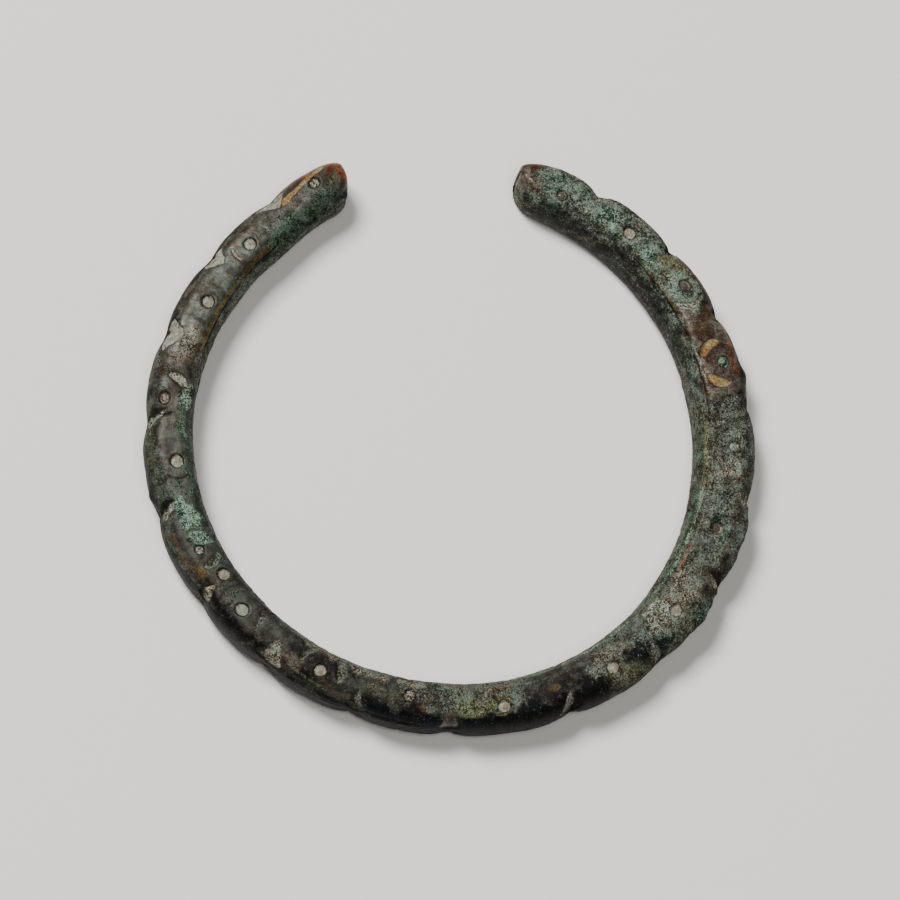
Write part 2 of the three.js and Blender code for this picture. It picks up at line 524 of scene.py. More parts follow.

# Ridges, grooves and streaks: most follow the inner edge, and the golden one is rubbed bright at the last
# end. The dark grooves are painted shade, and the pale lines along the inner edge and on the outer face at
# the bottom are painted highlights on low ridges
LINES = {
    # Painted shade in grooves along the inner edge, across the inner face and along the outer face at the
    # bottom
    Finish.HOLLOW: (
        Line(44, 84, -2.95, 0.14, -0.1, 0.75),
        Line(84, 128, -2.95, 0.14, -0.08, 0.35),
        Line(287, 317, -2.95, 0.16, -0.08, 0.8),
        Line(184, 216, 2.8, 0.18, -0.06, 0.45, drift=-0.3),
        Line(88, 130, -4.1, 0.16, -0.07, 0.4),
    ),
    Finish.OLIVE: (
        Line(85, 101, -3.4, 0.55, 0.03, 1.7),
        Line(203, 216, 1.7, 0.25, 0.04, 0.7, drift=-0.5),
    ),
    Finish.GREEN: (
        Line(84, 130, -4.6, 0.5, 0.0, 1.2),
    ),
    Finish.MINT: (
        Line(100, 127, -3.4, 0.25, 0.02, 0.9),
        Line(136, 168, -3.3, 0.25, 0.03, 1.0),
    ),
    Finish.OCHRE: (
        Line(286, 316, -2.4, 0.32, 0.03, 1.0),
        Line(44, 60, -2.7, 0.22, 0.0, 0.8),
        Line(50, 62, 2.1, 0.2, 0.0, 0.7),
    ),
    Finish.PALE: (
        # Painted highlights on low ridges along the inner edge and on the outer face at the bottom
        Line(66, 80, -2.55, 0.16, 0.06, 0.9),
        Line(85, 128, -2.55, 0.16, 0.05, 0.5),
        Line(148, 168, -1.75, 0.16, 0.07, 0.4, drift=-0.3),
        Line(146, 172, -2.5, 0.16, 0.07, 0.4, drift=-0.2),
        Line(184, 216, 3.3, 0.15, 0.08, 0.3, drift=-0.3),
        # Pale crust on the inner face
        Line(84, 128, -3.6, 0.2, 0.05, 0.4),
        Line(120, 168, -4.6, 0.25, 0.03, 0.5, drift=1.2),
    ),
    Finish.COPPER: (
        Line(112, 123.5, -2.5, 0.26, 0.03, 0.72),
    ),
    Finish.GOLD: (
        Line(322.0, 336.0, 1.0, 0.36, 0.05, 1.5, drift=1.4),
    ),
}

# Where each finish lies, clockwise from the first end, inner and outer edges given across the section
PATCHES = {
    # Over the right side, and all round the inner and outer faces
    Finish.GRAIN: (
        Patch(10, 62, -8.0, 2.4, 0.85, soft=0.8),
        Patch(10, 150, 4.6, 14.0, 0.62, soft=1.0),
        Patch(58, 152, -9.0, -2.8, 0.6),
        Patch(80, 150, -2.8, 4.0, 0.7, soft=0.8),
        Patch(80, 150, 3.4, 7.0, 0.5, soft=0.8),
        Patch(150, 282, -9.0, -2.6, 0.6),
        Patch(150, 342, 5.5, 14.0, 0.5, soft=1.0),
        Patch(164, 190, -2.6, 0.8, 0.6),
        Patch(190, 236, 2.8, 4.2, 0.25),
        Patch(236, 286, 1.6, 4.6, 0.35),
        Patch(276, 342, -9.0, -2.8, 0.8, soft=0.5),
    ),
    # Along the left side and, thinner, along the bottom
    Finish.SMOOTH: (
        Patch(137, 168, -3.0, -1.5, 0.75, soft=0.4),
        Patch(150, 168, -2.8, 0.2, 0.4),
        Patch(182, 216, -1.8, 0.6, 0.35),
        Patch(218, 258, -2.3, 1.2, 0.5),
        Patch(255, 284, -2.3, 1.4, 0.75, soft=0.5),
        Patch(282, 339, -2.4, 1.9, 1.0, soft=0.5),
    ),
    # Between the two bright scoops, at the first end, and beside notches
    Finish.BROWN: (
        Patch(12, 19, -2.4, 2.2, 1.0, soft=0.8),
        Patch(61, 81, -2.8, 2.4, 1.0, soft=0.5),
        Patch(100.8, 106.5, 0.7, 2.3, 1.3),
        Patch(111, 117.5, 0.4, 2.3, 1.3),
        Patch(119, 124.5, 0.9, 2.3, 1.2),
        Patch(199, 207, 0.8, 2.4, 0.6),
        Patch(211, 217, -0.2, 1.6, 0.6),
        Patch(280.5, 291, -2.0, 0.7, 0.8),
        Patch(284, 338, 1.6, 2.5, 0.8),
    ),
    # Yellow-brown stains
    Finish.OCHRE: (
        Patch(49.5, 54.5, -2.6, 2.0, 0.55),
        Patch(62, 66, -1.0, 2.2, 0.5),
        Patch(62.5, 67, -1.4, 1.6, 0.45),
        Patch(157, 160, -0.9, 0.0, 0.7),
        Patch(167.5, 172.5, -2.3, -1.5, 0.5),
        Patch(194, 214, -3.0, -1.5, 0.42),
        Patch(236.8, 241, 0.6, 1.9, 0.7),
        Patch(278, 290, 1.0, 2.2, 0.35),
        Patch(282, 291, -2.6, -0.7, 0.35),
    ),
    # Near black: patina at the lower left and bottom, and painted shade over the outer face, the underside
    # and the inner face, where the light doesn't reach
    Finish.DARK: (
        # Painted shade over the outer face and the underside, round the whole ring, and on the outer edge
        # near the first end
        Patch(10, 80, 2.5, 5.0, 0.8, soft=0.8),
        Patch(10, 342, 4.5, 14.0, 0.42, soft=1.2),
        Patch(19, 62, 1.5, 3.4, 0.5, soft=0.8),
        Patch(20, 50, -3.4, -2.1, 0.55),
        # Painted shade on the inner face at the upper right
        Patch(20, 66, -9.0, -3.2, 0.7, soft=0.8),
        # Painted shade on the outer face and the outer edge at the right
        Patch(80, 150, 3.4, 6.0, 0.8, soft=0.8),
        Patch(84, 126, 1.4, 3.2, 0.4, soft=0.8),
        Patch(94, 101, 0.9, 2.6, 0.5),
        Patch(101.5, 106, 0.9, 2.3, 0.62),
        Patch(112, 117, 0.6, 2.3, 0.62),
        Patch(119.5, 124, 1.0, 2.3, 0.62),
        # Painted shade on the shoulders that slope into the notch at 136 degrees
        Patch(131.5, 136, 0.2, 2.2, 0.9),
        Patch(137, 143, -0.3, 2.6, 0.9),
        # Painted shade over the outer face along the bottom
        Patch(146, 285, 3.0, 11.0, 1.0, soft=0.8),
        Patch(148, 168, -2.6, 0.2, 0.36, soft=1.0),
        # Near black on the outer half of the upper face along the bottom: partly patina, partly painted shade
        Patch(148.5, 155.5, -0.5, 4.5, 1.0),
        Patch(156.5, 180, 0.8, 6.0, 1.0),
        Patch(181, 199, 1.0, 3.4, 1.0, soft=0.5),
        Patch(181, 216, -1.6, 1.0, 0.45, soft=1.0),
        Patch(208, 217, 2.1, 2.8, 0.7),
        Patch(222, 236, 1.4, 2.8, 0.95),
        # Painted shade along the outer edge at the upper left
        Patch(283, 342, 2.4, 5.4, 0.9, soft=0.5),
    ),
    # Dull green streaks, most of them on the inner edge
    Finish.GREEN: (
        Patch(16, 24, -4.2, -2.2, 0.8),
        Patch(20, 60, -2.6, 1.8, 0.45, soft=1.0),
        Patch(40, 120, 5.0, 9.0, 0.42, soft=1.2),
        Patch(64, 82, -5.5, -3.2, 0.45),
        Patch(82, 122, -6.5, -3.0, 0.3),
        Patch(121.5, 127.5, 1.8, 4.3, 0.8),
        Patch(129.5, 134.5, -0.3, 1.2, 1.2),
        Patch(199, 214, 1.8, 3.0, 0.45),
        Patch(220, 256, -3.6, -2.2, 0.5),
        Patch(240, 262, 1.4, 3.6, 0.45),
        Patch(256, 274, -2.6, -1.4, 0.6),
        Patch(313, 336, -4.4, -1.3, 0.75),
    ),
    # Yellowish green, along the inner edge and at the bottom
    Finish.OLIVE: (
        Patch(50, 55, -2.4, 1.6, 0.8),
        Patch(84, 130, -5.5, -3.2, 0.6),
        Patch(94, 104, -2.4, 2.2, 0.35, soft=1.0),
        Patch(120, 140, 1.4, 3.6, 0.45, soft=1.0),
        Patch(139, 149, 0.6, 3.4, 0.6),
        Patch(168.5, 176, -0.8, 0.9, 1.3),
        Patch(168.5, 179.5, -1.2, 1.1, 1.0),
        Patch(190, 198, -0.9, 0.7, 0.5, slant=-0.9),
        Patch(240, 275, 1.8, 3.6, 0.4, soft=1.0),
        Patch(256, 275, -2.3, -1.2, 0.5),
        Patch(296, 330, 5.0, 9.0, 0.4, soft=1.2),
        Patch(333.2, 336.4, -1.1, 0.7, 0.75, soft=0.4),
    ),
    # Blue-black places along the bottom
    Finish.BLUE: (
        Patch(137.8, 142, -0.1, 1.2, 0.7),
        Patch(156.5, 160, -0.5, 0.5, 0.8),
        Patch(157, 166, 0.8, 2.6, 0.45),
        Patch(166, 178.8, 1.2, 2.6, 0.6),
        Patch(181.5, 198.5, 1.2, 2.8, 0.8, soft=0.5),
    ),
    # Pale green crust, thickest at the upper right and the lower left
    Finish.MINT: (
        Patch(18, 28, -1.4, 1.2, 0.5),
        Patch(31, 38.5, -2.9, 0.9, 0.8),
        Patch(33.5, 37.5, -2.2, -0.2, 1.3),
        Patch(42.2, 48.6, -2.4, 0.6, 0.65),
        Patch(44.5, 47.5, -2.3, -0.6, 1.4),
        Patch(53, 61.5, -2.0, 1.4, 0.65),
        Patch(82, 89, -2.0, 1.4, 0.25),
        Patch(100, 116, -1.8, 1.2, 0.25),
        Patch(138.5, 147, -3.2, -2.1, 0.6),
        Patch(179, 186, -2.2, -1.3, 0.6),
        Patch(231, 235, -1.6, 1.2, 0.35),
        Patch(236.5, 246, -2.2, -1.4, 0.45),
        Patch(243.5, 256, -1.9, 0.4, 0.95, slant=1.0),
        Patch(254, 262, -2.1, -1.2, 0.5),
        Patch(255, 275, -2.9, -2.3, 0.4),
        Patch(266, 274, -2.4, -0.8, 0.62, slant=0.8),
        Patch(273.9, 277.8, -2.6, -1.2, 1.9),
        Patch(276, 280, 0.2, 1.4, 0.4),
        Patch(315, 327, -2.1, -0.7, 0.5),
    ),
    # Whitish crust, thickest at the lower right
    Finish.PALE: (
        Patch(53, 61, -1.5, 1.6, 0.55),
        Patch(53.4, 55.0, -1.8, -0.8, 1.3),
        Patch(84, 90, -1.5, 1.0, 0.3),
        Patch(94.2, 98, -1.8, 1.0, 0.8),
        Patch(105, 114, 1.8, 3.4, 0.4),
        Patch(114, 121, -1.0, 1.2, 0.35),
        Patch(120, 134.5, -2.4, 1.2, 0.64),
        Patch(127, 134.5, -2.4, -0.3, 1.4),
        Patch(139, 149.5, -2.2, 0.4, 0.5),
        Patch(165, 186, -2.9, -1.8, 0.5),
        Patch(182, 186.5, 0.3, 1.2, 0.45),
        Patch(186, 218, -3.0, -1.3, 0.62),
        Patch(192.5, 197.5, -0.9, 0.1, 0.4, slant=-0.9),
        Patch(283, 290, -1.6, 0.8, 0.55),
    ),
    # Bare reddish metal at the last end and the outer edges
    Finish.COPPER: (
        Patch(12, 18, 0.2, 2.0, 0.55, soft=0.8),
        Patch(68.5, 76, 1.3, 2.2, 0.95, soft=0.4),
        Patch(185.5, 187.2, 0.3, 1.3, 0.5),
        Patch(240.5, 249, 1.7, 2.6, 0.42),
        Patch(308, 316, 0.6, 1.2, 0.35),
        Patch(322, 337, 1.5, 3.0, 0.8),
        Patch(333.4, 346, 1.0, 3.4, 0.95, soft=0.8),
        Patch(336.1, 346, -2.3, 3.4, 1.3, soft=0.5),
    ),
}


@dataclass
class Surface:
    """The bar's skin as a grid: one row for each station along the bar, one column for each point round it.

    Args:
        angle: ring angle of each row, in degrees.
        outward: distance outwards from the bar's middle, before the roll.
        upward: distance upwards from the bar's middle, before the roll.
        across: distance along the section from the middle of the upper face.
        point: place in space.
        normal: unit vector out of the metal.
        stray: how far patches wander along and across the bar at each point.
        cover: how much of each finish lies at each point.
    """

    angle: np.ndarray
    outward: np.ndarray
    upward: np.ndarray
    across: np.ndarray
    point: np.ndarray
    normal: np.ndarray
    stray: tuple[np.ndarray, np.ndarray]
    cover: dict[Finish, np.ndarray]

    def lay(self, finish: Finish, amount: np.ndarray, rows: np.ndarray | slice = slice(None)) -> None:
        """Covers some rows with a finish, where the amount is above what lies there of it."""
        self.cover[finish][rows] = np.maximum(self.cover[finish][rows], amount)

    def fill(self, finish: Finish, amount: np.ndarray, rows: np.ndarray | slice = slice(None)) -> None:
        """Covers some rows with one finish and takes the others from under it.

        Args:
            finish: what is laid.
            amount: how completely it covers each point of those rows.
            rows: which rows.
        """
        for other in self.cover:
            if Finish.HOLLOW not in (other, finish):
                self.cover[other][rows] *= 1 - amount
        self.lay(finish, amount, rows)


@dataclass(frozen=True)
class Wear:
    """The noises that make the casting uneven, from its broadest swells to its finest grains.

    Args:
        swell: the broad unevenness of the metal.
        coarse: the coarse grains of corrosion.
        fine: the fine grains and pores.
        stray: how the patches wander, along the bar and across it.
        fray: how their edges fray, along the bar and across it.
        notch_waver: how the walls of a notch waver.
        notch_crumble: how they crumble.
        notch_soil: the lumps in a notch's soil.
        soil_break: where that soil has fallen away.
        soil_fade: where it fades out at the notch's mouth.
        pit_waver: how a pit is out of round.
        pit_soil: the lumps in a pit's soil.
        swell_height: how far the broad unevenness goes each way.
        sound_coarse: how far the coarse grains go each way on sound metal.
        sound_fine: how far the fine ones go there.
        grain_coarse: how much farther the coarse grains go where the metal is corroded.
        grain_fine: how much farther the fine ones go there.
        pore_depth: how deep the pores are.
        crust_height: how thick the crust is.
        crust_coarse: how far its coarse lumps go each way.
        crust_fine: how far its fine lumps go.
        streak_height: how far the streaks on the inner face go each way.
        streak_length: how long they are.
        streak_width: how wide they are.
        streak_slice: where their noise is sliced.
        streak_seed: which of many such noises they are.
    """

    swell: Noise = Noise(6.0, 3)
    coarse: Noise = Noise(1.3, 11)
    fine: Noise = Noise(0.5, 23)
    stray: tuple[Noise, Noise] = (Noise(2.2, 40), Noise(2.2, 60))
    fray: tuple[Noise, Noise] = (Noise(0.6, 49), Noise(0.6, 69))
    notch_waver: Noise = Noise(0.8, 88)
    notch_crumble: Noise = Noise(0.35, 89)
    notch_soil: Noise = Noise(0.45, 77)
    soil_break: Noise = Noise(0.7, 90)
    soil_fade: Noise = Noise(0.9, 91)
    pit_waver: Noise = Noise(0.7, 31)
    pit_soil: Noise = Noise(0.35, 12)
    swell_height: float = 0.07
    sound_coarse: float = 0.012
    sound_fine: float = 0.003
    grain_coarse: float = 0.08
    grain_fine: float = 0.06
    pore_depth: float = 0.09
    crust_height: float = 0.03
    crust_coarse: float = 0.05
    crust_fine: float = 0.03
    streak_height: float = 0.035
    streak_length: float = 7.0
    streak_width: float = 0.5
    streak_slice: float = 5.0
    streak_seed: int = 51


@dataclass
class Bracelet:
    """The whole casting, as one skin that stands for its solid.

    Args:
        bar: the bar as cast.
        wear: what makes it uneven.
        columns: how many points go round the section.
        rows: how many stations go along the bar.
        cap_rows: how many of those close each end.
        round_rows: how many more take each end's rounding.
        cap_dome: how far an end's face bulges.
        carved_spacing: the distance between points on the upper face, where the carving is.
        inner_spacing: that distance on the inner face.
        plain_spacing: that distance on the faces that are seen less.
        foot_edge: from where to where across the section the underside gives way to the inner face.
        inner_edge: from where to where the inner face gives way to the upper face.
        outer_edge: from where to where the upper face gives way to the outer face.
        crust_stand: how far crust may stand above the solid.
        notch_depth: how deep a notch is at its mouth.
        notch_run: how far down the outer face it runs out.
        notch_window: how many degrees each side of its middle it can reach.
        dish_reach: how far along the ring the metal round it is hammered down.
        lower_share: how deep a lower notch is, in parts of an upper one.
        lower_soil: how much of a lower notch's depth is filled.
        lower_cover: how completely that soil covers.
        pit_depth: how deep a pit is punched.
        pit_heap: how high its filling stands when full.
        pit_lip: how high the metal round it is raised.
        pit_window: how many degrees each side of its middle it and its scoops can reach.
        axis_shift: where the ring's axis stands once the piece is centred on its node.
    """

    NODE: ClassVar[str] = "bracelet"
    SLOT: ClassVar[str] = "bronze"

    bar: CastBar = CastBar()
    wear: Wear = Wear()
    columns: int = 96
    rows: int = 1016
    cap_rows: int = 10
    round_rows: int = 14
    cap_dome: float = 0.2
    carved_spacing: float = 0.145
    inner_spacing: float = 0.22
    plain_spacing: float = 0.3
    foot_edge: tuple[float, float] = (-7.5, -6.5)
    inner_edge: tuple[float, float] = (-4.5, -3.0)
    outer_edge: tuple[float, float] = (4.2, 5.2)
    crust_stand: float = 0.14
    notch_depth: float = 0.9
    notch_run: float = 1.9
    notch_window: float = 9.0
    dish_reach: float = 1.8
    lower_share: float = 0.75
    lower_soil: float = 0.8
    lower_cover: float = 0.5
    pit_depth: float = 0.38
    pit_heap: float = 0.2
    pit_lip: float = 0.03
    pit_window: float = 8.0
    axis_shift: np.ndarray = field(init=False)

    def blank(self) -> bmesh.types.BMesh:
        """Makes a flat grid of unit size.

        Returns:
            The grid, with a line of points for each station and for each column round the bar.
        """
        bm = bmesh.new()
        bmesh.ops.create_grid(bm, x_segments=self.columns, y_segments=self.rows - 1, size=0.5)
        return bm

    def stations(self) -> tuple[np.ndarray, np.ndarray, np.ndarray]:
        """The rows along the bar.

        Returns:
            Each row's ring angle, its share of the end's rounding, and its share of the section's size.
        """
        bar = self.bar
        row = np.arange(self.rows)
        from_end = np.minimum(row, self.rows - 1 - row)
        turn = np.clip((from_end - self.cap_rows) / self.round_rows, 0, 1) * np.pi / 2
        reach = np.clip((from_end + 1) / (self.cap_rows + 1), 0, 1)
        into = bar.end_round * (1 - np.cos(turn)) - self.cap_dome * (1 - reach ** 2)
        into = np.degrees(into / bar.ring_radius)
        body_rows = self.cap_rows + self.round_rows
        start = bar.first_end + math.degrees(bar.end_round / bar.ring_radius)
        stop = bar.last_end - math.degrees(bar.end_round / bar.ring_radius)
        share = np.clip((row - body_rows) / (self.rows - 1 - 2 * body_rows), 0, 1)
        angle = np.where(row < body_rows, bar.first_end + into, start + share * (stop - start))
        angle = np.where(self.rows - 1 - row < body_rows, bar.last_end - into, angle)
        return angle, 1 - np.sin(turn), reach

    def turns(self) -> np.ndarray:
        """The columns round the section, closest together where the carving and the camera are.

        Returns:
            Each column's turn in radians, from the middle of the underside, over the inner face and on round.
        """
        turn = np.linspace(1.5 * np.pi, -0.5 * np.pi, 4001)
        s, z = self.bar.section(turn, self.bar.thickness, 0.0, 0.0)
        arc = np.concatenate([[0], np.cumsum(np.hypot(np.diff(s), np.diff(z)))])
        arc -= np.interp(-0.5 * np.pi, -turn, arc)
        past_inner_edge = ease(arc, *self.inner_edge)
        upper = past_inner_edge * (1 - ease(arc, *self.outer_edge))
        inner = ease(arc, *self.foot_edge) * (1 - past_inner_edge)
        density = 1 / self.plain_spacing + (1 / self.carved_spacing - 1 / self.plain_spacing) * upper
        density += (1 / self.inner_spacing - 1 / self.plain_spacing) * inner
        total = np.concatenate([[0], np.cumsum((density[1:] + density[:-1]) / 2 * np.diff(arc))])
        wanted = np.arange(self.columns) / self.columns * total[-1]
        return np.interp(wanted, total, turn)

    def skin(self) -> Surface:
        """Lays out the plain bar's skin.

        Returns:
            The skin, with nothing cut into it and nothing on it.
        """
        bar, wear = self.bar, self.wear
        angle, draw, reach = self.stations()
        turn = self.turns()[None, :]
        column = angle[:, None]
        s, z = bar.section(turn, bar.thickness_at(column), bar.dip_at(column), draw[:, None])
        s, z = s * reach[:, None], z * reach[:, None]
        step = np.hypot(np.diff(s, axis=1), np.diff(z, axis=1))
        arc = np.concatenate([np.zeros((self.rows, 1)), np.cumsum(step, axis=1)], axis=1)
        top = np.argmin(np.abs(turn - np.pi / 2))
        across = arc - arc[:, top:top + 1]
        point = self.place(angle, s, z)
        pairs = zip(wear.stray, wear.fray)
        stray = tuple(1.1 * wide.at(point) + 0.4 * narrow.at(point) for wide, narrow in pairs)
        cover = {finish: np.zeros_like(s) for finish in Finish}
        return Surface(angle, s, z, across, point, self.normals(point), stray, cover)

    def place(self, angle: np.ndarray, s: np.ndarray, z: np.ndarray) -> np.ndarray:
        """Carries points of the section into space.

        Args:
            angle: the ring angle of each row.
            s: how far each point lies outwards from the bar's middle.
            z: how far it lies upwards.

        Returns:
            Its place, with the three coordinates along the last axis.
        """
        radius, height = self.bar.middle_at(angle)
        roll = self.bar.roll_at(angle)[:, None]
        out = radius[:, None] + s * np.cos(roll) - z * np.sin(roll)
        up = height[:, None] + s * np.sin(roll) + z * np.cos(roll)
        around = np.radians(angle)[:, None]
        return np.stack([out * np.sin(around), out * np.cos(around), up], axis=-1)

    @staticmethod
    def normals(point: np.ndarray) -> np.ndarray:
        """Finds the way out of the metal from each point's neighbours.

        Args:
            point: the points of the skin.

        Returns:
            A unit vector for each.
        """
        along = np.gradient(point, axis=0)
        wrapped = np.concatenate([point[:, -1:], point, point[:, :1]], axis=1)
        normal = np.cross(along, wrapped[:, 2:] - wrapped[:, :-2])
        length = np.linalg.norm(normal, axis=-1, keepdims=True)
        return normal / np.maximum(length, 1e-9)

    def past(self, surface: Surface, angle: float) -> np.ndarray:
        """The distance of each grid point past an angle, along the ring."""
        return np.radians(surface.angle[:, None] - angle) * (self.bar.ring_radius + surface.outward)

    def cut_notch(self, surface: Surface, notch: Notch, upper: bool) -> None:
        """Files one V across an outer edge and lays its soil.

        Args:
            surface: the skin, which it changes.
            notch: where and how large.
            upper: whether it crosses the upper edge, and not the lower.
        """
        wear = self.wear
        rows = np.flatnonzero(np.abs(surface.angle - notch.angle) < self.notch_window)
        point = surface.point[rows]
        across = surface.across[rows] if upper else surface.across[rows, -1:] - surface.across[rows]
        part = (across - notch.apex) / (notch.mouth - notch.apex)
        run_out = ease(across, notch.mouth, notch.mouth + self.notch_run)
        opening = np.clip(part, 0, 1) ** 0.8 * (1 - run_out)
        ragged = 0.2 * wear.notch_waver.at(point) + 0.1 * wear.notch_crumble.at(point)
        past = self.past(surface, notch.angle)[rows] - notch.lean * (0.5 - np.clip(part, 0, 1)) + ragged

        # The bare V, the soil that fills it, and the dish hammered round it
        slope = 2 * self.notch_depth / notch.width
        depth = self.notch_depth * (1.0 if upper else self.lower_share) * opening
        bare = soft_positive(depth - np.abs(past) * slope, 0.05) * ease(depth, 0.0, 0.12)
        soil = depth * (1 - (notch.soil if upper else self.lower_soil)) + notch.heap * past
        soil = np.maximum(soil + 0.05 * wear.notch_soil.at(point), 0.0)
        cut = bare - soft_positive(bare - soil, 0.04)
        near = np.exp(-(past / self.dish_reach) ** 2)
        dish = notch.dish * near * ease(across, -1.2, 1.4) * (across < notch.mouth + 3)
        surface.point[rows] -= surface.normal[rows] * (cut + dish)[..., None]

        # Soil covers what it fills and some of the bare walls, and painted shade darkens the rest of the
        # walls
        inside = ease(bare, 0.02, 0.12)
        filled = inside * ease(bare - soil, -0.02, 0.08)
        coated = inside * (filled + (1 - filled) * notch.coat) * (0.85 + 0.35 * wear.soil_break.at(point))
        beyond = across + 0.5 * wear.soil_fade.at(point) - notch.mouth
        coated *= 1 - 0.75 * ease(beyond, 0.4, 1.4)
        surface.fill(notch.tone, coated * (1 if upper else self.lower_cover), rows)
        surface.lay(Finish.HOLLOW, 0.85 * inside * (1 - coated), rows)

    def punch(self, surface: Surface, pit: Pit) -> None:
        """Punches one round pit, with its filling and the scoops beside it.

        Args:
            surface: the skin, which it changes.
            pit: where and how large.
        """
        wear = self.wear
        rows = np.flatnonzero(np.abs(surface.angle - pit.angle) < self.pit_window)
        point = surface.point[rows]
        past = self.past(surface, pit.angle)[rows]
        out = surface.across[rows] - pit.across
        far = np.hypot(past, out) + 0.06 * wear.pit_waver.at(point)
        on_top = surface.upward[rows] > 0

        # The hole, its heaped filling and the lip thrown up round it
        radius = pit.size / 2
        wall = 1 - ease(far, radius * 0.78, radius * 1.05)
        heap = ease(radius * 0.82 - far, 0.0, radius * 0.4) * (1 + 0.5 * wear.pit_soil.at(point))
        lip = np.exp(-((far - radius * 1.2) / 0.17) ** 2)
        rise = -self.pit_depth * wall + self.pit_heap * pit.fill * heap + self.pit_lip * lip
        for scoop in pit.scoops:
            rise = rise - self.scoop_out(surface, rows, scoop, past, out)

        # The filling's own finish, and a ring of painted shade along the wall
        surface.fill(pit.tone, (1 - ease(far, radius * 0.84, radius * 0.98)) * on_top, rows)
        rim = np.exp(-((far - radius * 0.95) / 0.09) ** 2)
        surface.lay(Finish.HOLLOW, 0.8 * rim * on_top, rows)
        surface.point[rows] += surface.normal[rows] * (rise * on_top)[..., None]

    @staticmethod
    def scoop_out(
        surface: Surface, rows: np.ndarray, scoop: Scoop, past: np.ndarray, out: np.ndarray,
    ) -> np.ndarray:
        """Takes out one scoop beside a pit and lays what covers it.

        Args:
            surface: the skin, which it covers.
            rows: the rows that it works on.
            scoop: which scoop.
            past: the distance along the ring from the pit's middle.
            out: the distance outwards from the pit's middle.

        Returns:
            How deep the metal is taken out.
        """
        on_top = surface.upward[rows] > 0
        far = np.hypot(past, out)
        bearing = np.degrees(np.arctan2(-out, past * scoop.way))
        middle, half = (scoop.start + scoop.stop) / 2, (scoop.stop - scoop.start) / 2
        taper = np.sqrt(np.clip(1 - ((bearing - middle) / half) ** 2, 0, 1))
        reach = scoop.width / 2 * taper
        close = np.abs(far - scoop.reach) / np.maximum(reach, 1e-3)
        groove = np.clip(1 - close ** 2, 0, 1) * (reach > 0.03) * on_top
        surface.fill(scoop.tone, ease(groove, 0.1, 0.6) * scoop.strength, rows)
        # Painted shade along the scoop's edges, darker the deeper it is
        edge = np.exp(-((close - 1) / 0.2) ** 2) * (reach > 0.12) * on_top
        surface.lay(Finish.HOLLOW, edge * min(0.9, 3.0 * scoop.depth) * scoop.strength, rows)
        return scoop.depth * ease(groove, 0.0, 0.7)

    def spread(self, surface: Surface, finish: Finish, patch: Patch) -> None:
        """Lays one patch, with a wandering edge that fades.

        Args:
            surface: the skin, which it covers.
            finish: what lies there.
            patch: where it lies.
        """
        half_along = math.radians(patch.end - patch.start) / 2 * self.bar.ring_radius
        half_out = (patch.outer - patch.inner) / 2
        corner = min(half_along, half_out) * 0.9
        past = self.past(surface, (patch.start + patch.end) / 2) + surface.stray[0]
        centre = (patch.outer + patch.inner) / 2 + patch.slant * past / half_along / 2
        stray = min(1.0, 0.8 * half_out) * surface.stray[1]

        # The distance beyond the edge of a rounded rectangle, below nought inside it
        x = np.abs(past) - half_along + corner
        y = np.abs(surface.across - centre + stray) - half_out + corner
        beyond = np.hypot(np.maximum(x, 0), np.maximum(y, 0)) + np.minimum(np.maximum(x, y), 0) - corner
        soft = min(patch.soft, corner)
        surface.lay(finish, patch.strength * ease(-beyond, -soft, soft))

    def draw(self, surface: Surface, finish: Finish, line: Line) -> np.ndarray:
        """Lays one line.

        Args:
            surface: the skin, which it covers.
            finish: what covers the line.
            line: where it runs.

        Returns:
            How far the metal stands up there.
        """
        half = math.radians(line.end - line.start) / 2 * self.bar.ring_radius
        past = self.past(surface, (line.start + line.end) / 2)
        centre = line.across + line.drift * past / half / 2 + 0.12 * surface.stray[1]
        near = np.exp(-((surface.across - centre) / line.width) ** 2) * ease(half - np.abs(past), 0, 1.5)
        broken = 0.8 + 0.4 * surface.stray[0]
        surface.lay(finish, line.strength * ease(near * broken, 0.2, 0.6))
        return line.rise * near

    def lump_rise(self, surface: Surface, lump: Lump) -> np.ndarray:
        """How far one lump of crust stands up."""
        past = self.past(surface, lump.angle) / lump.length
        return lump.height * np.exp(-(past ** 2 + ((surface.across - lump.across) / lump.width) ** 2))

    def streaks(self, surface: Surface) -> np.ndarray:
        """Draws fine streaks along the inner face.

        Args:
            surface: the skin.

        Returns:
            A value for each point, from about -1 to 1, and nought off that face.
        """
        wear = self.wear
        x = np.radians(surface.angle)[:, None] * self.bar.ring_radius / wear.streak_length
        y = surface.across / wear.streak_width
        drawn_out = np.stack(np.broadcast_arrays(x, y, wear.streak_slice), axis=-1)
        inner = ease(-surface.across, 2.6, 3.4) * ease(surface.across, -9.0, -7.5)
        return inner * rough(drawn_out, wear.streak_seed, octaves=2)

    def weather(self, surface: Surface) -> None:
        """Wears and corrodes the skin: broad unevenness, streaks, grains, pores, ridges and crust.

        Args:
            surface: the skin, which it changes.
        """
        wear, point, cover = self.wear, surface.point, surface.cover
        normal = self.normals(point)
        swell, coarse, fine = wear.swell.at(point), wear.coarse.at(point), wear.fine.at(point)
        sound = (Finish.SMOOTH, Finish.BROWN, Finish.DARK, Finish.BLUE)
        corroded = 1 - np.maximum.reduce([cover[finish] for finish in sound])
        grain = cover[Finish.GRAIN] * (0.25 + 0.75 * corroded)
        crusts = (Finish.MINT, Finish.GREEN, Finish.PALE)
        crust = np.maximum.reduce([cover[finish] for finish in crusts]) * corroded

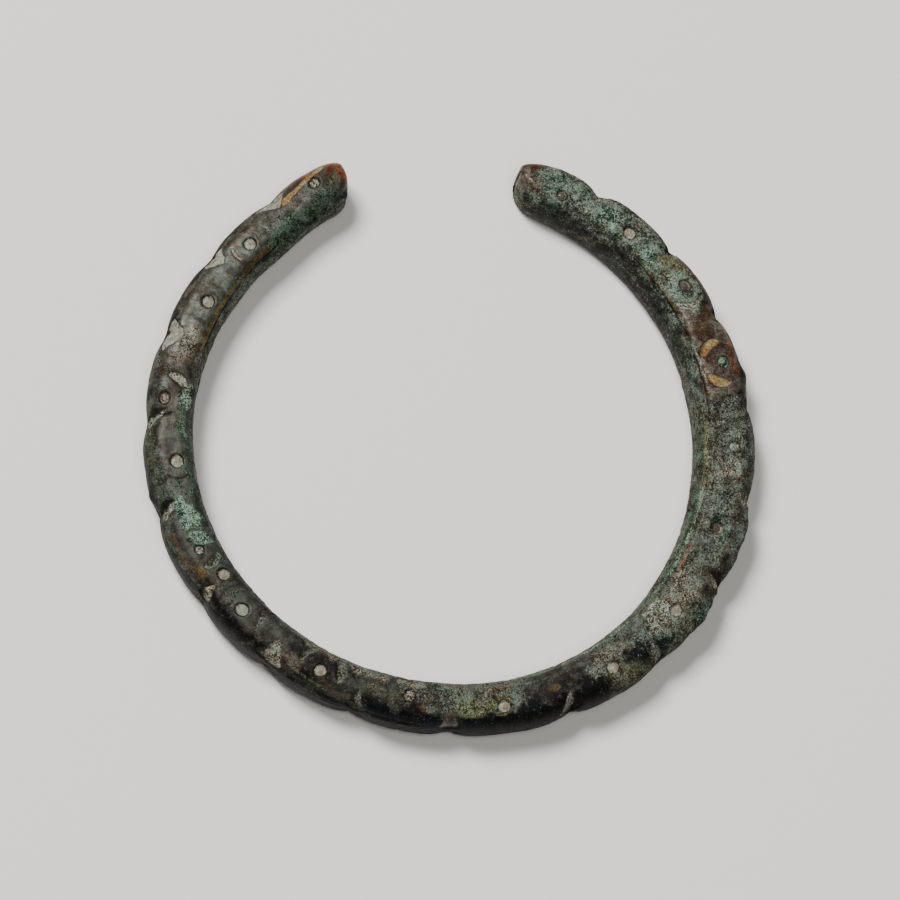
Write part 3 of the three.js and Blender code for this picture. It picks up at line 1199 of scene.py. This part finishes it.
        # How far the metal and its crust stand up, or are eaten away
        rise = wear.swell_height * swell
        rise += (wear.sound_coarse + wear.grain_coarse * grain) * coarse
        rise += (wear.sound_fine + wear.grain_fine * grain) * fine
        rise += crust * (wear.crust_height + wear.crust_coarse * coarse + wear.crust_fine * fine)
        rise -= wear.pore_depth * grain * ease(-fine, 0.2, 0.8)
        rise += wear.streak_height * self.streaks(surface)
        rise += sum(self.lump_rise(surface, lump) for lump in LUMPS)
        rise += sum(self.draw(surface, finish, line) for finish, lines in LINES.items() for line in lines)
        surface.point += normal * rise[..., None]

        pores = ease(-(coarse * 0.4 + fine), 0.15, 0.8) * (0.1 + 0.9 * grain)
        surface.lay(Finish.HOLLOW, pores * 0.8)

    def carve(self) -> Surface:
        """Cuts, fills and corrodes the skin.

        Returns:
            The finished skin.
        """
        surface = self.skin()
        for finish, patches in PATCHES.items():
            for patch in patches:
                self.spread(surface, finish, patch)
        for notch in NOTCHES:
            self.cut_notch(surface, notch, upper=True)
            self.cut_notch(surface, notch, upper=False)
        for pit in PITS:
            self.punch(surface, pit)
        self.weather(surface)
        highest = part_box(self.NODE)[1][2] / METRES + self.crust_stand
        surface.point[..., 2] = np.clip(surface.point[..., 2], 0, highest)
        return surface

    @staticmethod
    def close(skin: bmesh.types.BMesh) -> None:
        """Joins the skin's two long edges and closes its two ends.

        Args:
            skin: the mesh, which is open until then.
        """
        seam = [vert for vert in skin.verts if vert.is_boundary]
        bmesh.ops.remove_doubles(skin, verts=seam, dist=0.0001 * METRES)
        rims = [edge for edge in skin.edges if edge.is_boundary]
        ends = bmesh.ops.edgeloop_fill(skin, edges=rims)["faces"]
        bmesh.ops.poke(skin, faces=ends)
        bmesh.ops.recalc_face_normals(skin, faces=skin.faces[:])

    def centre(self, moved: np.ndarray) -> None:
        """Centres the finished points on the solid, in plan.

        Args:
            moved: the points, which it moves.
        """
        low, high = (np.array(corner[:2]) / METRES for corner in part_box(self.NODE))
        own = (moved.min(axis=0) + moved.max(axis=0)) / 2
        self.axis_shift = (low + high) / 2 - own[:2]
        moved[:, :2] += self.axis_shift

    def build(self) -> bpy.types.Object:
        """Makes the piece, in place and in metres.

        Returns:
            The piece, with a point attribute for each finish.
        """
        bm = self.blank()
        mesh = bpy.data.meshes.new("bracelet_skin")
        bm.to_mesh(mesh)
        bm.free()
        surface = self.carve()
        place = np.empty(len(mesh.vertices) * 3)
        mesh.vertices.foreach_get("co", place)
        place = place.reshape(-1, 3) + 0.5
        row = np.rint(place[:, 1] * (self.rows - 1)).astype(int)
        column = np.rint(place[:, 0] * self.columns).astype(int) % self.columns
        moved = surface.point[row, column]
        self.centre(moved)
        mesh.vertices.foreach_set("co", (moved * METRES).ravel())
        for finish, amount in surface.cover.items():
            layer = mesh.attributes.new(finish.value, "FLOAT", "POINT")
            layer.data.foreach_set("value", amount[row, column].astype(np.float32))
        skin = bmesh.new()
        skin.from_mesh(mesh)
        self.close(skin)
        skin.to_mesh(mesh)
        skin.free()
        mesh.shade_smooth()
        piece = bpy.data.objects.new("bracelet_bronze", mesh)
        bpy.context.scene.collection.objects.link(piece)
        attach(piece, "root")
        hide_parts(self.NODE)
        return piece


class Value:
    """A number in a material, so that shader maths reads as an expression."""

    def __init__(self, nodes: "Nodes", socket: bpy.types.NodeSocket) -> None:
        """Wraps a socket of a material's node."""
        self.nodes = nodes
        self.socket = socket

    def _maths(self, operation: str, first: object, second: object) -> "Value":
        """One Math node on two numbers or values."""
        node = self.nodes.add("ShaderNodeMath", {"operation": operation}, {0: first, 1: second})
        return Value(self.nodes, node.outputs[0])

    def __add__(self, other: object) -> "Value":
        """The sum."""
        return self._maths("ADD", self, other)

    def __radd__(self, other: object) -> "Value":
        """The sum, the other way round."""
        return self._maths("ADD", other, self)

    def __sub__(self, other: object) -> "Value":
        """The difference."""
        return self._maths("SUBTRACT", self, other)

    def __rsub__(self, other: object) -> "Value":
        """The difference, the other way round."""
        return self._maths("SUBTRACT", other, self)

    def __mul__(self, other: object) -> "Value":
        """The product."""
        return self._maths("MULTIPLY", self, other)

    def __rmul__(self, other: object) -> "Value":
        """The product, the other way round."""
        return self._maths("MULTIPLY", other, self)

    def step(self, low: float, high: float) -> "Value":
        """A smooth step of this value.

        Args:
            low: where it is still 0.
            high: where it has become 1.

        Returns:
            The step.
        """
        settings = {"interpolation_type": "SMOOTHSTEP"}
        node = self.nodes.add("ShaderNodeMapRange", settings, {0: self, 1: low, 2: high, 3: 0.0, 4: 1.0})
        return Value(self.nodes, node.outputs[0])


class Nodes:
    """A material's node tree, with one method that adds any node."""

    def __init__(self, material: bpy.types.Material) -> None:
        """Empties the material's tree and starts it with Object coordinates in millimetres."""
        material.use_nodes = True
        self.tree = material.node_tree
        self.tree.nodes.clear()
        place = self.add("ShaderNodeTexCoord", {}, {}).outputs["Object"]
        size = self.add("ShaderNodeVectorMath", {"operation": "SCALE"}, {0: place, "Scale": 1 / METRES})
        self.place = size.outputs[0]

    def add(self, kind: str, settings: dict[str, object], inputs: dict[str | int, object]) -> bpy.types.Node:
        """Adds a node.

        Args:
            kind: its type.
            settings: its own properties, which are set first.
            inputs: a number, colour, socket or Value for each input that is named or numbered.

        Returns:
            The node.
        """
        node = self.tree.nodes.new(kind)
        for name, setting in settings.items():
            setattr(node, name, setting)
        for name, given in inputs.items():
            source = given.socket if isinstance(given, Value) else given
            if isinstance(source, bpy.types.NodeSocket):
                self.tree.links.new(source, node.inputs[name])
            else:
                node.inputs[name].default_value = source
        return node

    def cover(self, finish: Finish) -> Value:
        """How much of a finish lies on the surface."""
        node = self.add("ShaderNodeAttribute", {"attribute_name": finish.value}, {})
        return Value(self, node.outputs["Fac"])

    def noise(self, size: float, detail: float, roughness: float) -> Value:
        """Noise from -0.5 to 0.5.

        Args:
            size: the breadth of its largest features, in millimetres.
            detail: how many finer noises are added to it.
            roughness: how strong they are.

        Returns:
            The noise.
        """
        node = self.add("ShaderNodeTexNoise", {}, {
            "Vector": self.place, "Scale": 1 / size, "Detail": detail, "Roughness": roughness,
        })
        return Value(self, node.outputs["Fac"]) - 0.5

    def mix(self, below: object, above: object, share: object) -> bpy.types.NodeSocket:
        """One colour over another."""
        node = self.add("ShaderNodeMix", {"data_type": "RGBA"}, {0: share, 6: below, 7: above})
        return node.outputs[2]

    def times(self, colour: object, factor: object) -> bpy.types.NodeSocket:
        """One colour multiplied by another.

        Args:
            colour: the first.
            factor: the second.

        Returns:
            Their product.
        """
        settings = {"data_type": "RGBA", "blend_type": "MULTIPLY"}
        node = self.add("ShaderNodeMix", settings, {0: 1.0, 6: colour, 7: factor})
        return node.outputs[2]

    def finish(self, inputs: dict[str, object]) -> None:
        """Ends the tree with one surface shader, which is given its inputs."""
        shader = self.add("ShaderNodeBsdfPrincipled", {}, inputs)
        self.add("ShaderNodeOutputMaterial", {}, {"Surface": shader.outputs[0]})


@dataclass(frozen=True)
class Layer:
    """One covering of the metal.

    Args:
        finish: where it lies.
        light: its colour at the high places.
        dark: its colour at the low places.
        roughness: how matt it is.
        metallic: how much metal shows.
        contrast: how strongly noise swings it between its two colours.
        fine: how much of that noise is fine, from 0 to 1.
        scatter: how strongly noise breaks its edge.
        blur: how gradually it gives way to what is beside it.
    """

    finish: Finish
    light: str
    dark: str
    roughness: float
    metallic: float
    contrast: float = 2.5
    fine: float = 0.7
    scatter: float = 1.0
    blur: float = 0.15


@dataclass(frozen=True)
class Look:
    """What a material shows so far.

    Args:
        colour: its base colour.
        roughness: how matt it is.
        metallic: how much metal shows.
        rise: how far its finest grain stands up, for the bump.
    """

    colour: bpy.types.NodeSocket
    roughness: Value
    metallic: Value
    rise: Value


class Mottling:
    """The noises that every covering of one material shares, so that their grains and stains agree."""

    def __init__(self, nodes: Nodes, broad: float, mottle: float, fleck: float, dust: float) -> None:
        """Makes the noises, and the two mixtures of them that tones are taken from.

        Args:
            nodes: the material's nodes.
            broad: the size of the broad stains, in millimetres.
            mottle: the size of the mottling.
            fleck: the size of the grains.
            dust: the size of the finest grains.
        """
        self.broad = nodes.noise(broad, 3.0, 0.6)
        self.mottle = nodes.noise(mottle, 4.0, 0.65)
        self.fleck = nodes.noise(fleck, 3.0, 0.75)
        self.dust = nodes.noise(dust, 2.0, 0.7)
        self.speck = 0.6 * self.mottle + self.fleck + 0.6 * self.dust
        self.cloud = 1.6 * self.mottle + 1.2 * self.broad


@dataclass(frozen=True)
class AgedBronze:
    """The finish of the whole casting: brown bronze under patina, corrosion and soil.

    Args:
        bare_light: the bronze's own colour, where it is light.
        bare_dark: that colour where it is dark.
        dirt_and_shade: the colour of the grime in pores and of the painted shade in grooves, scoops, notch
            walls and round pit rims.
        salt: the colour of the pale grains.
        pepper: the colour of the dark grains.
        warm: a slight tint over some places.
        cool: a slight tint over the others.
        shade: how much of its light everything keeps.
        broad_size: the size of the broad stains, in millimetres.
        mottle_size: the size of the mottling.
        fleck_size: the size of the grains.
        dust_size: the size of the finest grains.
        grain_height: how far the grains can stand up.
        specular: the strength of the shine where no metal shows.
        layers: what covers the bronze, from the lowest covering to the topmost.
    """

    bare_light: str = "4a4642"
    bare_dark: str = "0e0d0c"
    dirt_and_shade: str = "0c0b0a"
    salt: str = "dcdcca"
    pepper: str = "12100e"
    warm: str = "fff0e0"
    cool: str = "e2efe6"
    shade: float = 0.48
    broad_size: float = 5.0
    mottle_size: float = 1.3
    fleck_size: float = 0.26
    dust_size: float = 0.13
    grain_height: float = 0.25
    specular: float = 0.07
    layers: tuple[Layer, ...] = (
        Layer(Finish.GRAIN, "ccd2c2", "0f1412", 0.7, 0.05, 2.7, 0.85, 0.3, 0.6),
        Layer(Finish.SMOOTH, "83827b", "34342f", 0.36, 0.45, 1.8, 0.45, 0.5, 0.4),
        Layer(Finish.BROWN, "b3a194", "2e2724", 0.34, 0.4, 2.0, 0.6, 0.6, 0.4),
        # Near-black patina, which also paints the shade on the faces turned from the light
        Layer(Finish.DARK, "1c1c1c", "030404", 0.5, 0.0, 2.0, 0.6, 0.5, 0.4),
        Layer(Finish.OLIVE, "bfc29c", "23261b", 0.85, 0.0, 2.6, 0.85, 0.9, 0.3),
        Layer(Finish.GREEN, "8fb09b", "101914", 0.8, 0.0, 2.6, 0.85, 1.0, 0.3),
        Layer(Finish.BLUE, "0d1c2b", "020304", 0.5, 0.0, 2.4, 0.5, 0.7, 0.35),
        Layer(Finish.OCHRE, "b89c62", "3c2d1a", 0.5, 0.15, 2.2, 0.7, 0.7, 0.35),
        Layer(Finish.COPPER, "d28259", "4a281b", 0.34, 0.4, 2.0, 0.5, 0.8, 0.35),
        # Whitish crust, which also paints the highlights along some edges
        Layer(Finish.PALE, "fffcec", "36352c", 0.9, 0.0, 3.6, 0.9, 1.1, 0.25),
        Layer(Finish.MINT, "dcf6e0", "14352a", 0.9, 0.0, 4.0, 0.8, 1.7, 0.2),
        Layer(Finish.GOLD, "f4dcab", "7d5a2c", 0.45, 0.1, 2.4, 0.75, 0.7, 0.25),
        Layer(Finish.SOIL, "fffcf2", "948e7e", 0.95, 0.0, 2.8, 0.85, 0.4, 0.15),
    )

    def bare(self, nodes: Nodes, noise: Mottling) -> Look:
        """The brown bronze under everything.

        Args:
            nodes: the material's nodes.
            noise: its noises.

        Returns:
            What shows of it.
        """
        share = (0.5 + 1.0 * noise.speck + 1.5 * noise.cloud).step(0.1, 0.9)
        colour = nodes.mix(linear(self.bare_dark), linear(self.bare_light), share)
        return Look(colour, 0.42 + noise.mottle * 0.3, 0.35 + noise.broad * 0.5, noise.dust * 0.2)

    def covered(self, nodes: Nodes, noise: Mottling, under: Look, layer: Layer) -> Look:
        """Lays one covering.

        Args:
            nodes: the material's nodes.
            noise: its noises.
            under: what shows where the covering doesn't lie.
            layer: the covering.

        Returns:
            What shows with the covering on it.
        """
        cover = nodes.cover(layer.finish)
        limit = 0.5 + (1.9 * noise.mottle + 1.5 * noise.fleck) * layer.scatter
        share = (cover - limit).step(-layer.blur, layer.blur) * cover.step(0.0, 0.15)
        tone = noise.speck * layer.fine + noise.cloud * (1 - layer.fine)
        level = (0.6 + tone * layer.contrast).step(-0.2, 1.4)
        paint = nodes.mix(linear(layer.dark), linear(layer.light), level * level)
        return Look(
            nodes.mix(under.colour, paint, share),
            under.roughness + share * (layer.roughness - under.roughness),
            under.metallic + share * (layer.metallic - under.metallic),
            under.rise + share * (noise.speck * (layer.roughness * layer.roughness) - under.rise),
        )

    def dirtied_and_shaded(self, nodes: Nodes, noise: Mottling, under: Look) -> Look:
        """Lays dark, matt grime in pores, and painted shade in grooves, scoops, notch walls and round pit
        rims.

        Args:
            nodes: the material's nodes.
            noise: its noises.
            under: what shows where there is neither grime nor painted shade.

        Returns:
            What shows with the grime and the painted shade on it.
        """
        dirt_and_shade = nodes.cover(Finish.HOLLOW) * (1.0 + 1.5 * noise.fleck)
        return Look(
            nodes.mix(under.colour, linear(self.dirt_and_shade), dirt_and_shade.step(0.1, 0.9)),
            under.roughness + dirt_and_shade * (0.9 - under.roughness),
            under.metallic * (1 - dirt_and_shade),
            under.rise,
        )

    def peppered(self, nodes: Nodes, noise: Mottling, colour: bpy.types.NodeSocket) -> bpy.types.NodeSocket:
        """Strews pale and dark grains, most of them where the corrosion is grainy.

        Args:
            nodes: the material's nodes.
            noise: its noises.
            colour: what they are strewn over.

        Returns:
            The colour with the grains on it.
        """
        grainy = 0.45 + 0.55 * nodes.cover(Finish.GRAIN) - 0.35 * nodes.cover(Finish.SMOOTH)
        gathered = (0.55 + 2.0 * noise.mottle).step(0.3, 0.8)
        salt = (noise.fleck + 0.8 * noise.dust).step(0.15, 0.28) * grainy * gathered
        pepper = (-0.15 - noise.fleck - 0.6 * noise.dust).step(0.0, 0.15) * (0.3 + 0.4 * grainy)
        colour = nodes.mix(colour, linear(self.salt), 0.6 * salt)
        return nodes.mix(colour, linear(self.pepper), pepper)

    def tinted(self, nodes: Nodes, noise: Mottling, colour: bpy.types.NodeSocket) -> bpy.types.NodeSocket:
        """Tints a colour, warmer in some places and cooler in others, and darkens it all.

        Args:
            nodes: the material's nodes.
            noise: its noises.
            colour: what is tinted.

        Returns:
            The tinted colour.
        """
        share = (0.5 + 1.5 * noise.cloud + 0.8 * noise.fleck).step(0.1, 0.9)
        colour = nodes.times(colour, nodes.mix(linear(self.warm), linear(self.cool), share))
        return nodes.times(colour, (self.shade, self.shade, self.shade, 1.0))

    def material(self) -> bpy.types.Material:
        """Builds the material.

        Returns:
            A material that reads the mesh's finish attributes and Object coordinates.
        """
        made = bpy.data.materials.new("aged_bronze")
        nodes = Nodes(made)
        noise = Mottling(nodes, self.broad_size, self.mottle_size, self.fleck_size, self.dust_size)
        look = self.bare(nodes, noise)
        for layer in self.layers:
            look = self.covered(nodes, noise, look, layer)
        # Grime in pores, and painted shade in grooves, scoops, notch walls and round pit rims, over
        # everything
        look = self.dirtied_and_shaded(nodes, noise, look)
        colour = self.tinted(nodes, noise, self.peppered(nodes, noise, look.colour))
        bump = nodes.add("ShaderNodeBump", {}, {
            "Strength": 0.8, "Distance": self.grain_height * METRES, "Height": look.rise,
        })
        nodes.finish({
            "Base Color": colour, "Roughness": look.roughness, "Metallic": look.metallic,
            "Normal": bump.outputs[0], "Specular IOR Level": self.specular,
        })
        return made


@dataclass(frozen=True)
class Studio:
    """The floor, the lights and the camera.

    Args:
        view_tilt: how far the camera leans off the ring's axis, in degrees.
        view_side: how far round to the side it stands, in degrees.
        camera_distance: how far away it stands, in millimetres.
        view_width: how much of the bracelet's plane fills the picture's width, in millimetres.
        sensor: the width of the camera's sensor, in millimetres.
        image_size: the side of the picture, in pixels.
        ring_column: the pixel column of the ring's middle in the photograph.
        ring_line: the pixel line of the ring's middle in the photograph.
        ring_height: the height of the ring's middle over the floor, in millimetres.
        clip_start: how near the camera sees, in metres.
        clip_end: how far it sees, in metres.
        floor_reach: how far the floor goes each way, in metres.
        floor_colour: its colour.
        room_colour: the colour of the dim light from all round.
        room_light: the strength of that light.
    """

    view_tilt: float = 17.0
    view_side: float = -27.0
    camera_distance: float = 700.0
    view_width: float = 103.8
    sensor: float = 36.0
    image_size: int = 900
    ring_column: float = 449.0
    ring_line: float = 439.6
    ring_height: float = 3.35
    clip_start: float = 0.01
    clip_end: float = 10.0
    floor_reach: float = 3.0
    floor_colour: str = "d2cfc8"
    room_colour: str = "b9bdc4"
    room_light: float = 0.22

    def floor(self) -> None:
        """A wide, plain, pale floor under the bracelet."""
        bm = bmesh.new()
        bmesh.ops.create_grid(bm, x_segments=1, y_segments=1, size=self.floor_reach)
        mesh = bpy.data.meshes.new("floor")
        bm.to_mesh(mesh)
        bm.free()
        material = bpy.data.materials.new("floor_paper")
        Nodes(material).finish({
            "Base Color": linear(self.floor_colour), "Roughness": 0.95, "Specular IOR Level": 0.1,
        })
        mesh.materials.append(material)
        floor = bpy.data.objects.new("floor", mesh)
        bpy.context.scene.collection.objects.link(floor)

    def lamp(self, name: str, place: tuple[float, float, float], size: float, power: float) -> None:
        """A square soft light that shines at the bracelet.

        Args:
            name: what it is called.
            place: where it stands, in metres.
            size: the length of its side, in metres.
            power: its strength, in watts.
        """
        light = bpy.data.lights.new(name, "AREA")
        light.shape = "SQUARE"
        light.size = size
        light.energy = power
        lamp = bpy.data.objects.new(name, light)
        lamp.location = place
        lamp.rotation_euler = (-Vector(place)).to_track_quat("-Z", "Y").to_euler()
        bpy.context.scene.collection.objects.link(lamp)

    def lights(self) -> None:
        """A large soft light from the upper left, a weaker one above, and a dim room."""
        self.lamp("key", place=(-0.55, 0.5, 1.2), size=0.45, power=38.0)
        self.lamp("overhead", place=(0.05, -0.3, 1.3), size=0.5, power=8.0)
        world = bpy.data.worlds.new("room")
        bpy.context.scene.world = world
        world.use_nodes = True
        background = world.node_tree.nodes["Background"]
        background.inputs["Color"].default_value = linear(self.room_colour)
        background.inputs["Strength"].default_value = self.room_light

    def camera(self, axis: np.ndarray) -> None:
        """Sets the camera at the photograph's viewing angle.

        Args:
            axis: where the ring's axis meets the floor, in millimetres.
        """
        side, rise = math.radians(self.view_side), math.radians(90 - self.view_tilt)
        back = Vector((math.sin(side) * math.cos(rise), -math.cos(side) * math.cos(rise), math.sin(rise)))
        up = (Vector((0, 1, 0)) - back * back.y).normalized()
        right = up.cross(back)
        scale = self.view_width / self.image_size
        target = Vector((axis[0], axis[1], self.ring_height))
        middle = self.image_size / 2
        target -= right * (self.ring_column - middle) * scale
        target += up * (self.ring_line - middle) * scale
        lens = bpy.data.cameras.new("camera")
        lens.sensor_width = self.sensor
        lens.lens = self.sensor * self.camera_distance / self.view_width
        lens.clip_start, lens.clip_end = self.clip_start, self.clip_end
        camera = bpy.data.objects.new("camera", lens)
        turn = Matrix((right, up, back)).transposed().to_4x4()
        camera.matrix_world = Matrix.Translation((target + back * self.camera_distance) * METRES) @ turn
        bpy.context.scene.collection.objects.link(camera)
        bpy.context.scene.camera = camera


def main() -> None:
    """Builds the bracelet and its studio."""
    logging.basicConfig(level=logging.INFO)
    studio = Studio()
    bracelet = Bracelet(CastBar())
    piece = bracelet.build()
    piece.data.materials.append(AgedBronze().material())
    log.info("%s: %d points", piece.name, len(piece.data.vertices))
    studio.floor()
    studio.lights()
    studio.camera(bracelet.axis_shift)
    log.info("studio set")


if __name__ == "__main__":
    main()
